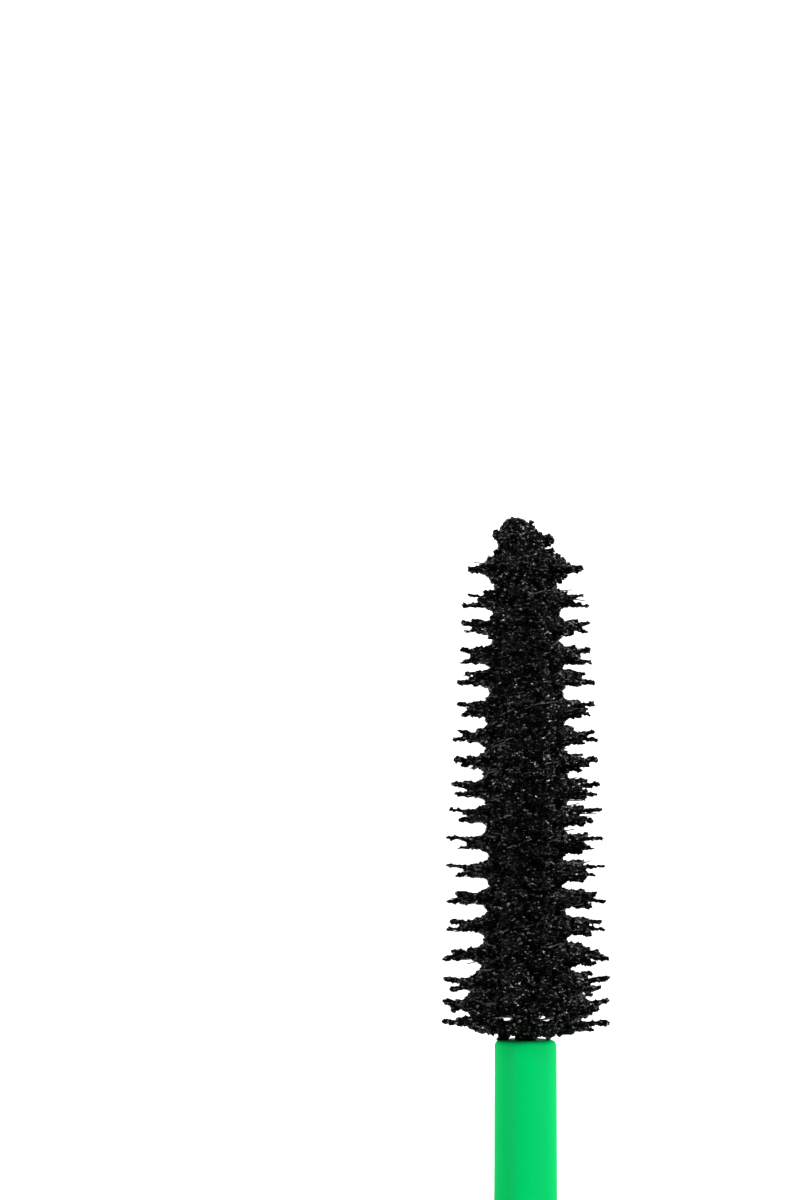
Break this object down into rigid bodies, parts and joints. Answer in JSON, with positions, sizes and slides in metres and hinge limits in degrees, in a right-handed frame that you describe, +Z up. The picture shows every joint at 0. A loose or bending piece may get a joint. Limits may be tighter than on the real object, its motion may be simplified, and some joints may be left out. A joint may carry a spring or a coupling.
{
  "type": "mascara tube",
  "caption": "Slim round screw-cap mascara lying open: capped wand with twisted-wire brush, drawn straight out of a threaded tube with its wiper.",
  "frame": {"origin": "on the table, under the middle of the whole length of the opened mascara", "axes": "+Y along the long axis, from the cap's closed end past the brush to the tube's base; +Z up from the table"},
  "size_m": [0.016, 0.16, 0.016],
  "materials": {
    "stem_green": "glossy moulded polypropylene",
    "sleeve_green": "glossy moulded",
    "cap_black": "high gloss",
    "ring_silver": "satin anodised",
    "weight_steel": "turned",
    "wire_steel": "drawn wire",
    "fibre_nylon": "black nylon fibre",
    "mascara": "wet paste",
    "vial_natural": "semi-matt moulded",
    "wiper_soft": "soft polyethylene",
    "washer_foam": "expanded polyethylene",
    "sticker_paper": "coated paper"
  },
  "bodies": {
    "bottle": {"outer_sleeve": "sleeve_green", "inner_vial": "vial_natural", "wiper": "wiper_soft", "mascara_in_tube": "mascara", "base_insert": "cap_black", "base_sticker": "sticker_paper"},
    "washer": {"sealing_washer": "washer_foam"},
    "wand": {"cap_shell": "cap_black", "rim_ring": "ring_silver", "cap_end_disc": "ring_silver", "cap_weight": "weight_steel", "thread_liner": "stem_green", "stem": "stem_green", "core_wire": "wire_steel", "fibre_row_01": "fibre_nylon", "fibre_row_02": "fibre_nylon", "fibre_row_03": "fibre_nylon", "fibre_row_04": "fibre_nylon", "fibre_row_05": "fibre_nylon", "fibre_row_06": "fibre_nylon", "fibre_row_07": "fibre_nylon", "fibre_row_08": "fibre_nylon", "fibre_row_09": "fibre_nylon", "fibre_row_10": "fibre_nylon", "fibre_row_11": "fibre_nylon", "fibre_row_12": "fibre_nylon", "fibre_row_13": "fibre_nylon", "fibre_row_14": "fibre_nylon", "fibre_row_15": "fibre_nylon", "fibre_row_16": "fibre_nylon", "fibre_row_17": "fibre_nylon", "fibre_row_18": "fibre_nylon", "mascara_on_brush": "mascara", "tip_drop": "mascara"}
  },
  "joints": [
    {"name": "wand_slide", "type": "slide", "parent": "bottle", "child": "washer", "axis": [0, 1, 0], "range_m": [0, 0.0777], "deforming": ["wiper", "fibre_row_01", "fibre_row_02", "fibre_row_03", "fibre_row_04", "fibre_row_05", "fibre_row_06", "fibre_row_07", "fibre_row_08", "fibre_row_09", "fibre_row_10", "fibre_row_11", "fibre_row_12", "fibre_row_13", "fibre_row_14", "fibre_row_15", "fibre_row_16", "fibre_row_17", "fibre_row_18"]},
    {"name": "cap_turn", "type": "hinge", "parent": "washer", "child": "wand", "pos_m": [0, -0.0541, 0.008], "axis": [0, 1, 0], "range_deg": [0, 540]}
  ]
}
